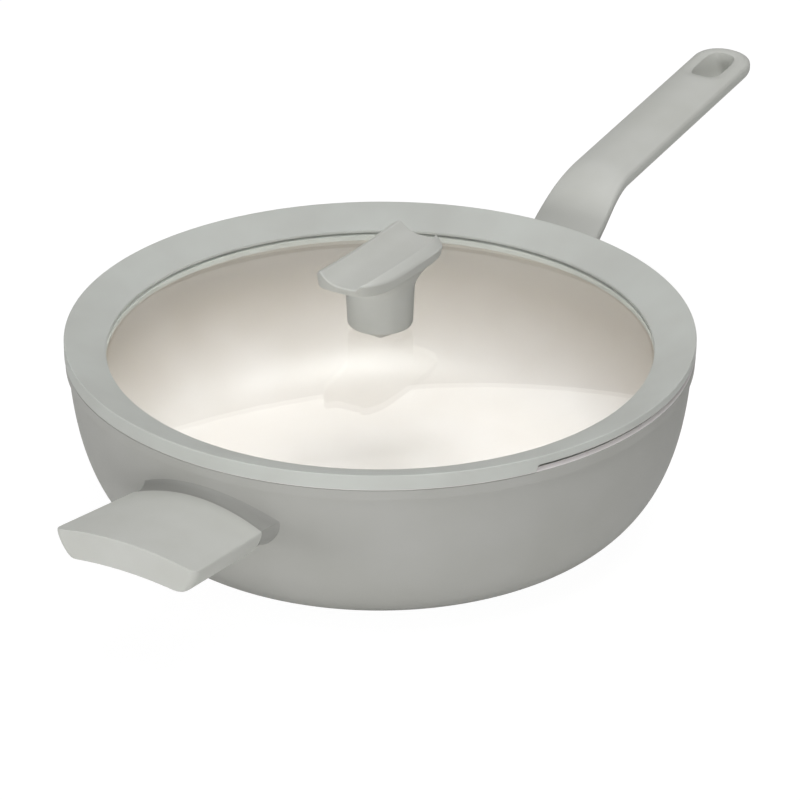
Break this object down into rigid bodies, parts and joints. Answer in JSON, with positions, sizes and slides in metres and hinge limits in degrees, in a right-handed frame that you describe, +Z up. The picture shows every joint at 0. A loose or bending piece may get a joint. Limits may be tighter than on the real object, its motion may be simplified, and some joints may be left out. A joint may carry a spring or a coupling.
{
  "type": "wok with lid",
  "caption": "Shallow cast wok with a long handle, a helper handle opposite and a domed glass lid with a broad silicone rim and a knob",
  "frame": {"origin": "on the pan's axis, at the underside of the base plate", "axes": "+X runs along the long handle, -X along the helper handle, +Z is up, and the lid's strainer notch faces -Y"},
  "size_m": [0.5475, 0.294, 0.1318],
  "materials": {
    "pan_paint": "matte",
    "bracket_paint": "matte",
    "ceramic_coating": "satin",
    "base_steel": "brushed",
    "stud_aluminium": "satin",
    "screw_steel": "satin",
    "grip": "soft matte",
    "lid_glass": "polished",
    "rim_silicone": "matte",
    "gasket_silicone": "matte",
    "insert_brass": "machined"
  },
  "bodies": {
    "pan": {"pan_body": "pan_paint", "ceramic_lining": "ceramic_coating", "induction_plate": "base_steel", "long_handle": "grip", "long_handle_bracket": "bracket_paint", "long_handle_stud_1": "stud_aluminium", "long_handle_stud_2": "stud_aluminium", "long_handle_screw": "screw_steel", "helper_handle": "grip", "helper_handle_bracket": "bracket_paint", "helper_handle_stud_1": "stud_aluminium", "helper_handle_stud_2": "stud_aluminium", "helper_handle_screw_1": "screw_steel", "helper_handle_screw_2": "screw_steel"},
    "lid": {"lid_glass": "lid_glass", "lid_rim": "rim_silicone", "knob_grip": "grip", "knob_insert": "insert_brass", "knob_upper_gasket": "gasket_silicone", "knob_lower_gasket": "gasket_silicone", "knob_cup_washer": "screw_steel", "knob_screw": "screw_steel"}
  },
  "joints": [
    {"name": "lid_lift", "type": "slide", "parent": "pan", "child": "lid", "axis": [0, 0, 1], "range_m": [0, 0.12]}
  ]
}
